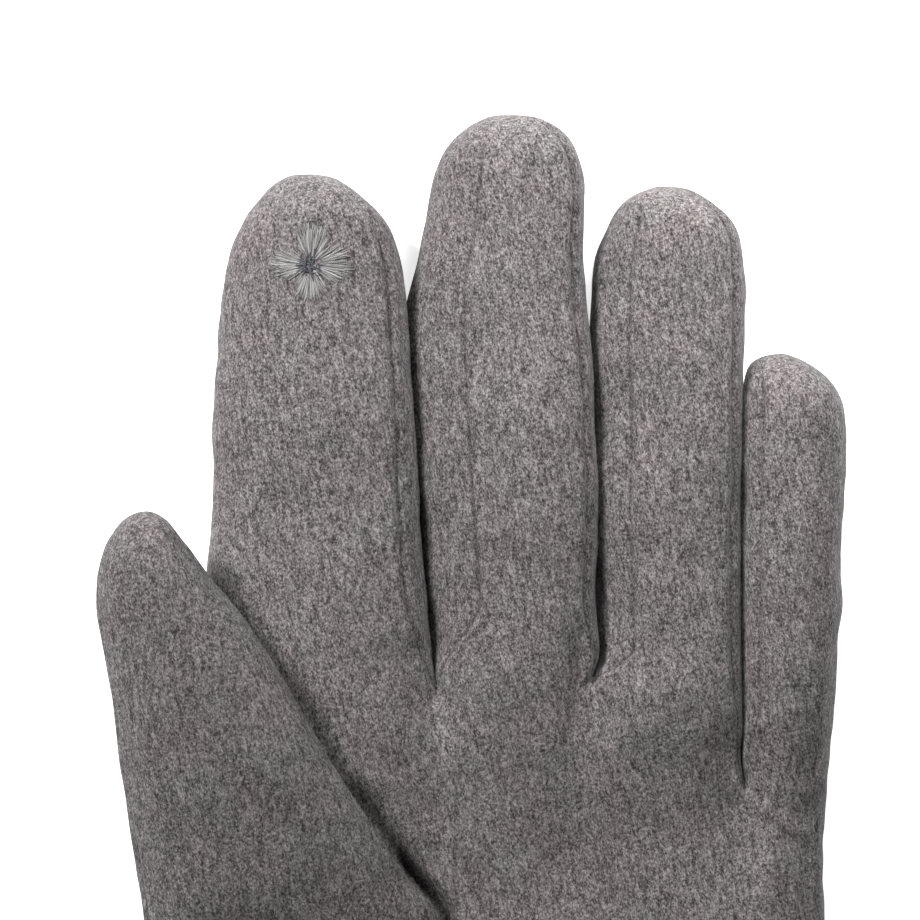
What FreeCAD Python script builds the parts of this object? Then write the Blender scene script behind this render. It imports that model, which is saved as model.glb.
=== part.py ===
"""A left-hand touchscreen glove of brushed knit with a fleece lining, palm side up.

Every sewn piece is its own solid. Pieces that run over a knuckle are divided there,
because the glove bends there. +X points to the little finger, +Y to the fingertips and
+Z up out of the palm. The glove lies on its back on the plane z = 0.
"""
import FreeCAD, Part
import math
import os

V = FreeCAD.Vector

# Fabric and clearances, in millimetres
SHELL = 1.2            # knit outer fabric
LINING = 1.6           # fleece lining
GAP = 0.2              # half of the play between two bodies at a knuckle
SEAM_RISE = 3.0        # half height of a fourchette, measured from the finger's middle plane
PATCH_RISE = 0.7       # how far the embroidered patches stand off the fabric

# Heights
FINGER_HEIGHT = 14.0
PALM_HEIGHT = 15.0
THUMB_HEIGHT = 12.7
THUMB_FLOOR = PALM_HEIGHT + 0.3
FINGER_ROUND = 5.0     # rounding along the edges of a finger, cut down for the inner layers
PALM_ROUND = 5.5
LEAST_ROUND = 1.2      # rounding that the innermost layer keeps
KNUCKLE_HEIGHT = 9.8   # height of the knuckle axes above the table
WRIST_AXIS_HEIGHT = 10.5

# Knuckle ranges, in degrees: the cut on the palm side leaves room for them
BASE_BEND, MIDDLE_BEND, TIP_BEND = 70.0, 80.0, 48.0
INDEX_BASE_BEND = 45.0  # less than the others, because the thumb lies over the root of the index
WRIST_BEND = 45.0
THUMB_TIP_BEND = 50.0
BEND_MARGIN = 2.0      # extra half angle of each cut

# Each finger: left and right edge, the three knuckles, the tip, and which sides have a fourchette
FINGERS = {
    "index": {"left": -37.1, "right": -8.9, "knuckles": (46.0, 68.0, 90.0), "tip": 112.3,
              "gusset_sides": (1,), "base_bend": INDEX_BASE_BEND},
    "middle": {"left": -8.5, "right": 18.0, "knuckles": (45.0, 69.0, 95.0), "tip": 121.5,
               "gusset_sides": (-1, 1), "base_bend": BASE_BEND},
    "ring": {"left": 18.4, "right": 40.6, "knuckles": (45.0, 66.0, 88.0), "tip": 110.6,
             "gusset_sides": (-1, 1), "base_bend": BASE_BEND},
    "little": {"left": 41.0, "right": 57.0, "knuckles": (29.0, 47.0, 65.0), "tip": 85.7,
               "gusset_sides": (-1,), "base_bend": BASE_BEND},
}
SEGMENTS = ("base", "middle", "tip")
FINGER_OVERRUN = 10.0  # how far a finger's form runs on below its base knuckle before it is cut

# Palm: outline corners as x, y and corner radius, from the wrist round by the little finger
WRIST = -66.0
CROTCH_HIGH = 35.5     # between index and middle, and middle and ring
CROTCH_LOW = 19.8      # between ring and little
WRIST_OVERRUN = 20.0   # how far the hand's form runs on below the wrist before it is cut
PALM_OUTLINE = (
    (-36.0, WRIST - WRIST_OVERRUN, 0.0),
    (44.0, WRIST - WRIST_OVERRUN, 0.0),
    (44.5, WRIST + 2.0, 60.0),
    (56.4, 0.0, 60.0),
    (57.0, CROTCH_LOW, 2.5),
    (40.8, CROTCH_LOW, 0.0),
    (40.8, CROTCH_HIGH, 2.5),
    (-37.1, CROTCH_HIGH, 2.5),
    (-39.0, 20.0, 20.0),
    (-50.0, 2.0, 12.0),
    (-50.0, -14.0, 20.0),
    (-37.0, -56.0, 40.0),
)

ROOT_DEPTH = 8.0       # how far a finger's root reaches into the palm below its crotch

# Cuff, below the wrist
CUFF_END = -121.5
CUFF_LEFT_TOP, CUFF_RIGHT_TOP = -36.0, 44.3
CUFF_LEFT_END, CUFF_RIGHT_END = -39.0, 47.5
CUFF_OVERRUN = 10.0    # how far the cuff's form runs on at both ends before it is cut
HEM_DEPTH = 9.0
ELASTIC_WIDTH, ELASTIC_THICKNESS = 6.0, 0.8
ELASTIC_Y = -76.0
ELASTIC_MARGIN = 6.0   # how far the elastic stops short of the cuff's edges

# Thumb: a sleeve over a hole in the palm, leaning outwards
THUMB_PIVOT = (-30.0, 6.0)
THUMB_LEAN = 21.0      # degrees to the left of +Y
THUMB_BASE_HALF, THUMB_BASE_RADIUS = 15.5, 14.0
THUMB_KNUCKLE = 29.0   # from the pivot, along the thumb
THUMB_KNUCKLE_SIDE = 4.5   # the tip knuckle lies this far to the palm side of the thumb's middle
THUMB_WAIST, THUMB_WAIST_RADIUS = 12.2, 80.0    # half width at the tip knuckle
THUMB_END_HALF, THUMB_END_RADIUS = 8.5, 8.3
THUMB_LENGTH = 58.5    # from the pivot to the tip
THUMB_HOLE = 10.0      # radius of the hole between hand and thumb

# Embroidered touch patches: a star with four petals
PATCH_X, PATCH_Y = -24.1, 98.9
PATCH_LENGTH, PATCH_WIDTH = 12.9, 11.2
LONG_PETALS_BREADTH, SHORT_PETALS_BREADTH = 0.62, 0.42   # as shares of the width and the length
THUMB_PATCH_AT = 46.0  # from the pivot, along the thumb

FAR = 200.0            # larger than any piece


def block(x0, x1, y0, y1, z0, z1):
    """A box between two corners."""
    return Part.makeBox(x1 - x0, y1 - y0, z1 - z0, V(x0, y0, z0))


def side_prism(points, x0, x1):
    """A prism along X from points in the Y-Z plane."""
    corners = [V(x0, y, z) for y, z in points]
    face = Part.Face(Part.makePolygon(corners + corners[:1]))
    return face.extrude(V(x1 - x0, 0, 0))


def rounded_outline(corners):
    """A closed flat wire of straight runs joined by tangent arcs, from (x, y, radius)."""
    edges, count = [], len(corners)
    joints = []
    for i, (x, y, radius) in enumerate(corners):
        here = V(x, y, 0)
        before = V(*corners[i - 1][:2], 0) - here
        after = V(*corners[(i + 1) % count][:2], 0) - here
        before.normalize()
        after.normalize()
        if radius == 0:
            joints.append((here, here, None))
            continue
        half = before.getAngle(after) / 2
        run = radius / math.tan(half)
        inward = before + after
        inward.normalize()
        middle = here + inward * (radius / math.sin(half) - radius)
        joints.append((here + before * run, here + after * run, middle))
    for i, (start, end, middle) in enumerate(joints):
        if middle:
            edges.append(Part.Arc(start, middle, end).toShape())
        following = joints[(i + 1) % count][0]
        if (following - end).Length > 1e-6:
            edges.append(Part.LineSegment(end, following).toShape())
    return Part.Wire(edges)


def pillow(wire, inset, floor, height, rounding, open_below=None):
    """An extruded outline drawn in by inset all round, with its long edges rounded.

    Edges that lie on the line y = open_below are left sharp, because the form goes on there.
    """
    face = Part.Face(wire)
    if inset:
        face = face.makeOffset2D(-inset)
    body = face.extrude(V(0, 0, height - 2 * inset))
    body.translate(V(0, 0, floor + inset))
    rounding = max(rounding - inset, LEAST_ROUND)
    levels = (floor + inset, floor + height - inset)
    chosen = []
    for edge in body.Edges:
        box = edge.BoundBox
        flat = box.ZLength < 1e-6 and min(abs(box.ZMin - z) for z in levels) < 1e-6
        at_open_end = open_below is not None and box.YMax < open_below + 1e-6
        if flat and not at_open_end:
            chosen.append(edge)
    return body.makeFillet(rounding, chosen)


def finger_wire(finger, root):
    """Plan outline of a finger: straight sides and a round tip."""
    left, right, tip = finger["left"], finger["right"], finger["tip"]
    half = (right - left) / 2
    shoulder = tip - half
    low_left, low_right = V(left, root, 0), V(right, root, 0)
    high_left, high_right = V(left, shoulder, 0), V(right, shoulder, 0)
    edges = [
        Part.LineSegment(low_left, low_right).toShape(),
        Part.LineSegment(low_right, high_right).toShape(),
        Part.Arc(high_right, V((left + right) / 2, tip, 0), high_left).toShape(),
        Part.LineSegment(high_left, low_left).toShape(),
    ]
    return Part.Wire(edges)


def finger_form(finger, inset, root):
    """A whole finger with a closed tip, drawn in by inset, reaching down to the line y = root."""
    open_end = root + inset
    return pillow(finger_wire(finger, root), inset, 0.0, FINGER_HEIGHT, FINGER_ROUND, open_end)


def layers(form):
    """The outer shell and the lining between it and the hollow, from form(inset)."""
    outside, between, hollow = form(0.0), form(SHELL), form(SHELL + LINING)
    return outside.cut(between), between.cut(hollow)


def knuckle_slope(bend):
    """How far a cut leans back for each millimetre above its knuckle axis."""
    return math.tan(math.radians(bend / 2 + BEND_MARGIN))


def span_prism(finger, low, high, bend_low, bend_high):
    """What one finger segment may fill between two knuckles, with a V cut on the palm side.
    A tip segment has no upper knuckle: its high and bend_high are None.
    """
    top = FINGER_HEIGHT + 1
    rise = top - KNUCKLE_HEIGHT
    start = low + GAP
    points = [(start, -1), (start, KNUCKLE_HEIGHT), (start + rise * knuckle_slope(bend_low), top)]
    if high is None:
        points += [(FAR, top), (FAR, -1)]
    else:
        end = high - GAP
        points += [(end - rise * knuckle_slope(bend_high), top), (end, KNUCKLE_HEIGHT), (end, -1)]
    return side_prism(points, finger["left"] - 1, finger["right"] + 1)


def split_shell(shell, finger, with_gussets):
    """Palm-side panel, back panel and fourchettes of one length of finger."""
    left, right = finger["left"] - 1, finger["right"] + 1
    centre, middle = (left + right) / 2, FINGER_HEIGHT / 2
    halves = {-1: (left, centre), 1: (centre, right)}
    palm_side, back_side, gussets = shell, shell, []
    for side, (x0, x1) in halves.items():
        rise = SEAM_RISE if with_gussets and side in finger["gusset_sides"] else 0.0
        palm_side = palm_side.cut(block(x0, x1, -FAR, FAR, -FAR, middle + rise))
        back_side = back_side.cut(block(x0, x1, -FAR, FAR, middle - rise, FAR))
        if rise:
            strip = block(x0, x1, -FAR, FAR, middle - rise, middle + rise)
            gussets.append(shell.common(strip))
    return palm_side, back_side, gussets


def finger_nodes(name, finger):
    """All nodes of one finger, by name."""
    nodes = {}
    knuckles = finger["knuckles"]
    root = knuckles[0] - FINGER_OVERRUN
    bends = (finger["base_bend"], MIDDLE_BEND, TIP_BEND, None)
    shell, lining = layers(lambda inset: finger_form(finger, inset, root))
    for i, segment in enumerate(SEGMENTS):
        last = i == len(SEGMENTS) - 1
        high = None if last else knuckles[i + 1]
        prism = span_prism(finger, knuckles[i], high, bends[i], bends[i + 1])
        panels = split_shell(shell.common(prism), finger, with_gussets=not last)
        label = f"{name}_{segment}"
        nodes[f"palm_panel_{label}"] = panels[0]
        nodes[f"back_panel_{label}"] = panels[1]
        if panels[2]:
            nodes[f"fourchette_{label}"] = Part.makeCompound(solids_of(panels[2]))
        nodes[f"lining_{label}"] = lining.common(prism)
    return nodes


def solids_of(shapes):
    """Every solid in a list of shapes."""
    return [solid for shape in shapes for solid in shape.Solids]


def palm_form(inset):
    """The hand's outline with the roots of the four fingers growing out of it."""
    open_end = WRIST - WRIST_OVERRUN + inset
    wire = rounded_outline(PALM_OUTLINE)
    form = pillow(wire, inset, 0.0, PALM_HEIGHT, PALM_ROUND, open_end)
    for name, finger in FINGERS.items():
        crotch = CROTCH_LOW if name == "little" else CROTCH_HIGH
        form = form.fuse(finger_form(finger, inset, crotch - ROOT_DEPTH))
    return form.removeSplitter()


def finger_clearance(finger):
    """Everything past a finger's base knuckle, with half of the V cut."""
    top = PALM_HEIGHT + 1
    end = finger["knuckles"][0] - GAP
    lean = (top - KNUCKLE_HEIGHT) * knuckle_slope(finger["base_bend"])
    points = [(end, -1), (end, KNUCKLE_HEIGHT), (end - lean, top), (FAR, top), (FAR, -1)]
    return side_prism(points, finger["left"] - GAP, finger["right"] + GAP)


def wrist_prism(to_hand):
    """The space on one side of the wrist, with half of the V cut on the palm side."""
    way = 1 if to_hand else -1
    top = PALM_HEIGHT + 1
    start = WRIST + way * GAP
    lean = way * (top - WRIST_AXIS_HEIGHT) * knuckle_slope(WRIST_BEND)
    points = [(start, -1), (start, WRIST_AXIS_HEIGHT), (start + lean, top),
              (way * FAR, top), (way * FAR, -1)]
    return side_prism(points, -FAR, FAR)


def hand_nodes():
    """Palm panel with its thumb hole, back panel, and the lining of the hand."""
    keep = wrist_prism(to_hand=True)
    shell, lining = (layer.common(keep) for layer in layers(palm_form))
    for finger in FINGERS.values():
        shell = shell.cut(finger_clearance(finger))
        lining = lining.cut(finger_clearance(finger))
    middle = FINGER_HEIGHT / 2
    hole = Part.makeCylinder(THUMB_HOLE, PALM_HEIGHT, V(*THUMB_PIVOT, middle))
    return {
        "palm_panel_hand": shell.common(block(-FAR, FAR, -FAR, FAR, middle, FAR)).cut(hole),
        "back_panel_hand": shell.common(block(-FAR, FAR, -FAR, FAR, -FAR, middle)),
        "lining_hand": lining.cut(hole),
    }


def cuff_form(inset):
    """The cuff from above the wrist to below its mouth, wider towards the mouth."""
    slope_left = (CUFF_LEFT_END - CUFF_LEFT_TOP) / (WRIST - CUFF_END)
    slope_right = (CUFF_RIGHT_END - CUFF_RIGHT_TOP) / (WRIST - CUFF_END)
    top, low = WRIST + CUFF_OVERRUN, CUFF_END - CUFF_OVERRUN
    corners = (
        (CUFF_LEFT_TOP - CUFF_OVERRUN * slope_left, top, 0.0),
        (CUFF_LEFT_END + CUFF_OVERRUN * slope_left, low, 0.0),
        (CUFF_RIGHT_END + CUFF_OVERRUN * slope_right, low, 0.0),
        (CUFF_RIGHT_TOP - CUFF_OVERRUN * slope_right, top, 0.0),
    )
    return pillow(rounded_outline(corners), inset, 0.0, PALM_HEIGHT, PALM_ROUND)


def cuff_nodes():
    """Cuff panels, lining, the folded hem round the mouth, and the wrist elastic."""
    keep = wrist_prism(to_hand=False)
    shell, lining = (layer.common(keep) for layer in layers(cuff_form))
    hem_top = CUFF_END + HEM_DEPTH
    upper = block(-FAR, FAR, hem_top, FAR, -FAR, FAR)
    mouth = block(-FAR, FAR, CUFF_END, hem_top, -FAR, FAR)
    middle = FINGER_HEIGHT / 2
    elastic = block(CUFF_LEFT_TOP + ELASTIC_MARGIN, CUFF_RIGHT_TOP - ELASTIC_MARGIN,
                    ELASTIC_Y - ELASTIC_WIDTH / 2, ELASTIC_Y + ELASTIC_WIDTH / 2,
                    PALM_HEIGHT - SHELL - ELASTIC_THICKNESS, PALM_HEIGHT - SHELL)
    shell_above = shell.common(upper)
    return {
        "palm_panel_cuff": shell_above.common(block(-FAR, FAR, -FAR, FAR, middle, FAR)),
        "back_panel_cuff": shell_above.common(block(-FAR, FAR, -FAR, FAR, -FAR, middle)),
        "lining_cuff": lining.common(upper).cut(elastic),
        "cuff_hem": shell.fuse(lining).common(mouth).removeSplitter(),
        "wrist_elastic": elastic,
    }


def thumb_wire():
    """Plan outline of the thumb along +Y, with its pivot at the origin."""
    right = (
        (THUMB_BASE_HALF, -THUMB_BASE_HALF, THUMB_BASE_RADIUS),
        (THUMB_WAIST, THUMB_KNUCKLE, THUMB_WAIST_RADIUS),
        (THUMB_END_HALF, THUMB_LENGTH, THUMB_END_RADIUS),
    )
    left = tuple((-x, y, radius) for x, y, radius in reversed(right))
    return rounded_outline(right + left)


def thumb_span(tip_side):
    """What lies on one side of the thumb's tip knuckle, open in a V towards the palm side."""
    way = 1 if tip_side else -1
    start = THUMB_KNUCKLE + way * GAP
    reach = FAR - THUMB_KNUCKLE_SIDE
    slope = knuckle_slope(THUMB_TIP_BEND)
    corners = [V(-FAR, start, -FAR), V(THUMB_KNUCKLE_SIDE, start, -FAR),
               V(FAR, start + way * reach * slope, -FAR), V(FAR, way * FAR * 2, -FAR),
               V(-FAR, way * FAR * 2, -FAR)]
    face = Part.Face(Part.makePolygon(corners + corners[:1]))
    return face.extrude(V(0, 0, 2 * FAR))


def place_thumb(shape):
    """Turn a thumb piece by the thumb's lean and carry it to its pivot."""
    shape = shape.copy()
    shape.rotate(V(0, 0, 0), V(0, 0, 1), THUMB_LEAN)
    shape.translate(V(*THUMB_PIVOT, 0))
    return shape


def thumb_nodes():
    """Outer and inner panel and lining of the thumb, divided at its tip knuckle."""
    wire = thumb_wire()
    shell, lining = layers(lambda inset: pillow(wire, inset, THUMB_FLOOR, THUMB_HEIGHT, FINGER_ROUND))
    middle = THUMB_FLOOR + THUMB_HEIGHT / 2
    hole = Part.makeCylinder(THUMB_HOLE, THUMB_HEIGHT / 2, V(0, 0, THUMB_FLOOR - 1))
    shell, lining = shell.cut(hole), lining.cut(hole)
    above = block(-FAR, FAR, -FAR, FAR, middle, FAR)
    below = block(-FAR, FAR, -FAR, FAR, -FAR, middle)
    nodes = {}
    for segment in ("base", "tip"):
        span = thumb_span(segment == "tip")
        part_shell = shell.common(span)
        nodes[f"thumb_outer_panel_{segment}"] = place_thumb(part_shell.common(above))
        nodes[f"thumb_inner_panel_{segment}"] = place_thumb(part_shell.common(below))
        nodes[f"lining_thumb_{segment}"] = place_thumb(lining.common(span))
    return nodes


def petal_star(length, width, thickness):
    """A flat star of four rounded petals round a centre, lying on z = 0."""
    petals = []
    for angle, reach, breadth in ((0, length, width * LONG_PETALS_BREADTH),
                                  (90, width, length * SHORT_PETALS_BREADTH)):
        oval = Part.Ellipse(V(0, 0, 0), reach / 2, breadth / 2).toShape()
        petal = Part.Face(Part.Wire([oval])).extrude(V(0, 0, thickness))
        petal.rotate(V(0, 0, 0), V(0, 0, 1), angle)
        petals.append(petal)
    return petals[0].fuse(petals[1]).removeSplitter()


def patch_nodes():
    """The conductive embroidery on the index fingertip and on the pad of the thumb."""
    index = petal_star(PATCH_LENGTH, PATCH_WIDTH, PATCH_RISE)
    index.translate(V(PATCH_X, PATCH_Y, FINGER_HEIGHT))
    thumb = petal_star(PATCH_LENGTH, PATCH_WIDTH, PATCH_RISE)
    thumb.translate(V(0, THUMB_PATCH_AT, THUMB_FLOOR - PATCH_RISE))
    return {"index_touch_patch": index, "thumb_touch_patch": place_thumb(thumb)}


def build():
    """Every node of the glove, by name."""
    nodes = hand_nodes()
    for name, finger in FINGERS.items():
        nodes.update(finger_nodes(name, finger))
    nodes.update(thumb_nodes())
    nodes.update(cuff_nodes())
    nodes.update(patch_nodes())
    return nodes


def main():
    os.makedirs("parts", exist_ok=True)
    nodes = build()
    whole = Part.makeCompound(list(nodes.values())).BoundBox
    print(f"{len(nodes)} nodes, {whole.XLength:.2f} x {whole.YLength:.2f} x {whole.ZLength:.2f} mm")
    print(f"middle of the box at x {whole.Center.x:.3f}, y {whole.Center.y:.3f}, floor {whole.ZMin:.3f}")
    for name, shape in nodes.items():
        solids = len(shape.Solids)
        if not shape.isValid() or not solids:
            print(f"{name}: valid {shape.isValid()}, {solids} solids")
        shape.exportStep(f"parts/{name}.step")


main()
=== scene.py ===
"""Looks of a left-hand touchscreen glove: brushed heather knit, fleece lining, embroidered patches.

The glove is one surface of rings: each finger is a ladder of rows between its two contours,
the palm and cuff carry the same columns on down to the mouth, and the thumb is a sleeve set
into the palm. The surface is then cut along its seams, and at the middle of each finger
bone, into thin walled pieces, each over one joint. Lengths here are millimetres;
MM turns them into the scene's metres.
"""

import math

import bpy
import numpy as np
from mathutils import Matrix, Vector
from mathutils.bvhtree import BVHTree


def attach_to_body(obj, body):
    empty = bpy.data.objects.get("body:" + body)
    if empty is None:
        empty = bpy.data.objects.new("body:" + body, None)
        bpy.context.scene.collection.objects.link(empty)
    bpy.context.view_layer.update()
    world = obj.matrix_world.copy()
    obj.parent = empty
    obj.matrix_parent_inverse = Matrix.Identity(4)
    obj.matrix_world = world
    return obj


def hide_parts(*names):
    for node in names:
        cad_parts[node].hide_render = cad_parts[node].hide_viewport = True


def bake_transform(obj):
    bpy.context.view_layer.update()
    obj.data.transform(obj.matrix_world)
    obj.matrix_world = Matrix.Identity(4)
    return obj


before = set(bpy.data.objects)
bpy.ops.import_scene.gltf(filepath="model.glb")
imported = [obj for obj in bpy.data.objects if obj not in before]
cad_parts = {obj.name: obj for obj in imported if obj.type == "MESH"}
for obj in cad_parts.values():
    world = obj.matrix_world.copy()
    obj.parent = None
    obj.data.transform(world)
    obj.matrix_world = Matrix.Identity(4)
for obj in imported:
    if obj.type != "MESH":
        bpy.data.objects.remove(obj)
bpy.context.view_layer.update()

MM = 0.001
TINY = 1e-9
WAVES = 14               # added up for a smooth random field

# Cloth
KNIT = 1.0               # thickness of the knit panels
LINING = 1.3             # thickness of the lining
KNIT_LAYER = (0.0, KNIT)       # depth below the knit's outer face, and thickness
LINING_LAYER = (1.15, LINING)
TAPE_LAYER = (0.0, 0.1)
DEPTHS = (0.35, 0.8, 1.4, 2.45)    # tried from the deepest: how far inwards the layers reach
SHORTEST_EDGE = 0.3      # taken for how far one step along the surface gets at least
ROOM_CLEAR = 0.8         # share of a depth that must be clear all round its end
ROOM_STEP = 0.35         # the most that the depth changes from one point to the next
ROW_STEP = 0.95          # spacing of the rows along the glove
FRONT_COLUMNS = 30       # columns over the front, and over the back, of one finger
SIDE_COLUMNS = 12        # columns over one side of a finger or of the palm
EDGE_CROWDING = 0.6      # how much closer the columns lie beside a seam
SEAM_DEPTH = 0.30        # depth of the groove at a seam
SEAM_WIDTH = 0.55
SEAM_LIP = 0.16          # height of the swelling on both sides of the groove
FULLNESS = 0.32          # added to the half widths, because evening out draws the fabric in
FULL_FROM = 4.0          # half width from which all of it is added
TABLE = 0.25             # lowest point of the fabric above the table
TABLE_EASE = 3.0         # how sharply the fabric turns flat where it meets the table

EVEN_WEIGHT = 0.5        # how far a point moves towards the mean of its neighbours
TIP_EVENING = (5.0, 14)  # reach and rounds of the evening out at a fingertip
THUMB_BURIED, HAND_BURIED = 0.8, 2.6    # faces deeper than this in the other part are left out
SWELLS = ((0.30, 34.0, 3), (0.12, 13.0, 5), (0.05, 6.0, 6))    # height, wavelength, seed

# Fingers: contour points from the left crotch over the tip to the right crotch. "tip" is the
# place of the tip in that list. "roll" turns the section, right edge up. "seams" are the
# distances of the front seams from the left and right contour, "back_seams" those behind.
# "seam_fade" is the distance from the tip over which the seams fade out.
FINGERS = {
    "index": {
        "contour": [(-40.2, 35.0), (-40.0, 54.2), (-38.7, 77.0), (-38.0, 95.1), (-35.4, 104.2),
                    (-32.4, 109.1), (-25.2, 113.2), (-16.4, 109.0), (-13.3, 105.3),
                    (-11.7, 102.3), (-10.2, 98.0), (-9.7, 90.6), (-8.9, 75.4), (-7.7, 59.0),
                    (-6.6, 46.0), (-5.8, 38.3), (-5.1, 34.8)],
        "tip": 6, "roll": 9.0, "seams": (2.4, 2.9), "back_seams": (2.4, 4.5), "seam_fade": 22.0,
        "level_from": 44.0, "splits": (57.0, 79.0), "knuckles": (46.0, 68.0, 90.0)},
    "middle": {
        "contour": [(-5.1, 34.8), (-6.0, 38.3), (-6.9, 46.0), (-8.0, 59.0), (-9.3, 75.4),
                    (-10.0, 87.0), (-9.7, 95.1), (-8.6, 99.7), (-6.2, 108.8), (-2.5, 117.5),
                    (4.4, 121.8), (11.2, 120.6), (15.0, 117.6), (16.8, 112.8), (17.5, 99.7),
                    (18.5, 87.0), (19.1, 75.4), (19.5, 48.2), (19.7, 40.0), (18.3, 36.0)],
        "tip": 10, "roll": 12.0, "seams": (8.6, 2.2), "back_seams": (2.2, 6.5), "seam_fade": 6.0,
        "level_from": 44.0, "splits": (57.0, 82.0), "knuckles": (45.0, 69.0, 95.0)},
    "ring": {
        "contour": [(18.3, 36.0), (18.9, 40.0), (18.6, 48.2), (18.3, 75.4), (17.9, 88.0),
                    (18.5, 99.7), (20.3, 104.2), (23.2, 108.0), (29.2, 110.7), (35.2, 109.0),
                    (40.1, 104.3), (41.2, 97.0), (41.5, 86.0), (41.3, 75.4), (41.3, 48.2),
                    (41.2, 30.0), (40.9, 25.0), (41.5, 19.8)],
        "tip": 8, "roll": 11.0, "seams": (5.8, 2.2), "back_seams": (2.2, 5.5), "seam_fade": 6.0,
        "level_from": 46.0, "splits": (55.5, 77.0), "knuckles": (45.0, 66.0, 88.0)},
    "little": {
        "contour": [(41.5, 19.8), (40.6, 25.0), (40.9, 30.0), (40.6, 48.2), (40.7, 68.0),
                    (41.3, 79.5), (42.7, 84.3), (46.6, 86.1), (50.9, 84.7), (54.4, 81.4),
                    (56.7, 77.0), (57.2, 71.0), (56.4, 58.8), (55.1, 40.6), (54.4, 28.0),
                    (54.3, 19.8)],
        "tip": 7, "roll": 8.0, "seams": (3.0, 2.2), "back_seams": (2.2, 2.2), "seam_fade": 6.0,
        "level_from": 27.0, "splits": (38.0, 56.0), "knuckles": (29.0, 47.0, 65.0)},
}
SEGMENTS = ("base", "middle", "tip")
# How far a finger bends on each side of a knuckle
BEND_HALF = {"index": 8.0, "middle": 8.0, "ring": 8.0, "little": 7.5}
KNUCKLE_HEIGHT = 9.8     # height of the knuckle axes
FINGER_MIDDLE = 6.2      # height of the widest part of a finger
FINGER_TOP = 7.9         # from there up to the top
TOP_SQUARENESS = 2.45    # exponent of the section's upper half
UNDER_SQUARENESS = 3.4
SECTION_POINTS = 721     # of the dense section, before it is divided into columns
TIP_DOME = 8.5           # length over which a fingertip closes
TIP_DROOP = 1.2          # how far the very tip lies below the finger's middle
ROOT_BLEND = 13.0        # length over which the palm turns into a finger

# Palm and cuff: contours downwards from the outer end of the index and of the little finger
PALM_LEFT = [(-40.2, 35.0), (-41.6, 20.0), (-43.2, 4.0), (-43.0, -12.0), (-40.6, -34.0),
             (-37.6, -54.0), (-36.3, -66.0), (-36.2, -78.0), (-38.6, -121.2)]
PALM_RIGHT = [(54.3, 19.8), (53.5, 8.8), (52.4, -6.0), (49.8, -25.0), (46.6, -46.0),
              (44.4, -62.0), (44.2, -78.0), (47.0, -121.2)]
PALM_LEVEL_BY = -30.0    # from here down the rows run straight across
PALM_MIDDLE = 6.6        # height of the widest part of the palm
PALM_TOP = 8.1           # from there up to the top
CUFF_TOP = 6.4           # height of the cuff above its middle, at the mouth
PALM_EDGE = 11.0         # width of the rounded edge of the palm
FLATTER_FROM, FLATTER_OVER = 0.45, 0.3    # shares of the length over which it turns flatter
PALM_HOLLOW = 3.0        # depth of the soft hollow below the fingers
HOLLOW_PLACE, HOLLOW_REACH = (14.0, 12.0), (30.0, 15.0)
OUTER_EDGE = 2.4         # where the outer sides begin, from the contour
CROTCHES = [FINGERS[name]["contour"][-1] for name in ("index", "middle", "ring")]
CROTCH_DIP_FRONT, CROTCH_DIP_BACK = 2.8, 2.4    # how far the fabric dips in at a crotch
CROTCH_REACH = (4.6, 11.0)
WRIST_LINE = -66.0       # the wrist joint, and its axis' height
WRIST_AXIS = 10.5
WRIST_SPLIT = -56.0      # where the pieces of the hand end and those of the cuff begin
WRIST_BEND_HALF = 8.0    # the cuff bends this far on both sides of the joint
HEM_LINE = -112.5        # top of the hem
HEM_OVERLAP, HEM_LIFT = 0.6, 0.30    # how far the hem runs on over the knit, and stands off it
HEM_THICKNESS = KNIT + LINING + 0.9
HEM_ROUND = 0.8          # how far its rounded edge stands out
STITCH_PITCH, STITCH_LENGTH = 3.1, 2.4
ELASTIC_LINE = -76.0     # middle of the wrist elastic
TAPE_SIDES = (-29.5, 37.5)
ABOVE, BELOW = 60.0, -5.0    # heights clear of the glove
GATHER_WAVE, GATHER_DEPTH = 6.4, 0.4    # spacing and depth of the folds at the elastic
GATHER_REACH = 9.0       # how far they run on along the glove
GATHER_SIDES = (-33.0, 41.0)

# Thumb: a sleeve along a line that leans to the left
THUMB_PIVOT = np.array([-30.0, 6.0])
THUMB_LEAN = math.radians(21.0)
THUMB_LEFT = [(-37.0, -50.0), (-42.4, -40.0), (-46.4, -24.0), (-48.4, -8.0), (-49.5, 5.0),
              (-52.3, 22.6), (-54.2, 38.0), (-55.8, 48.5), (-55.3, 54.2), (-53.8, 57.9),
              (-51.6, 61.0), (-48.9, 62.6)]
THUMB_RIGHT = [(-24.0, -46.0), (-12.0, -36.0), (-5.0, -22.0), (-3.2, -8.0), (-4.8, 1.0),
               (-9.4, 6.3), (-10.4, 7.9), (-19.9, 22.8), (-30.3, 40.6), (-38.2, 51.0),
               (-42.2, 56.4), (-45.4, 60.6), (-48.9, 62.6)]
# Places along the thumb, and the heights there of its top, its edges and its underside
THUMB_STATIONS = (-46.0, -36.0, -20.0, -8.0, 4.0, 20.0, 40.0, 60.0)
THUMB_TOPS = (11.0, 16.6, 20.8, 23.2, 25.5, 26.9, 25.9, 24.4)
THUMB_EDGES = (7.0, 9.5, 12.5, 17.0, 17.9, 17.6, 17.9, 18.6)
THUMB_UNDERS = (4.0, 3.2, 3.2, 4.6, 14.2, 15.1, 15.2, 15.2)
THUMB_DROOP = 2.4        # how far the free left edge hangs lower than the right one
THUMB_TIP_DROOP = 0.33   # share of that by which the very tip hangs lower
THUMB_FREE_FROM, THUMB_FREE_OVER = -2.0, 14.0    # where it comes free of the palm
THUMB_DOME = 9.0         # length over which its tip closes
THUMB_SQUARENESS = 2.3
THUMB_SEAM = math.radians(18.0)    # how far up the left edge the seam lies, round the section
THUMB_SPLIT = 19.0       # where the pieces of its base end and those of its tip begin
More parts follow.
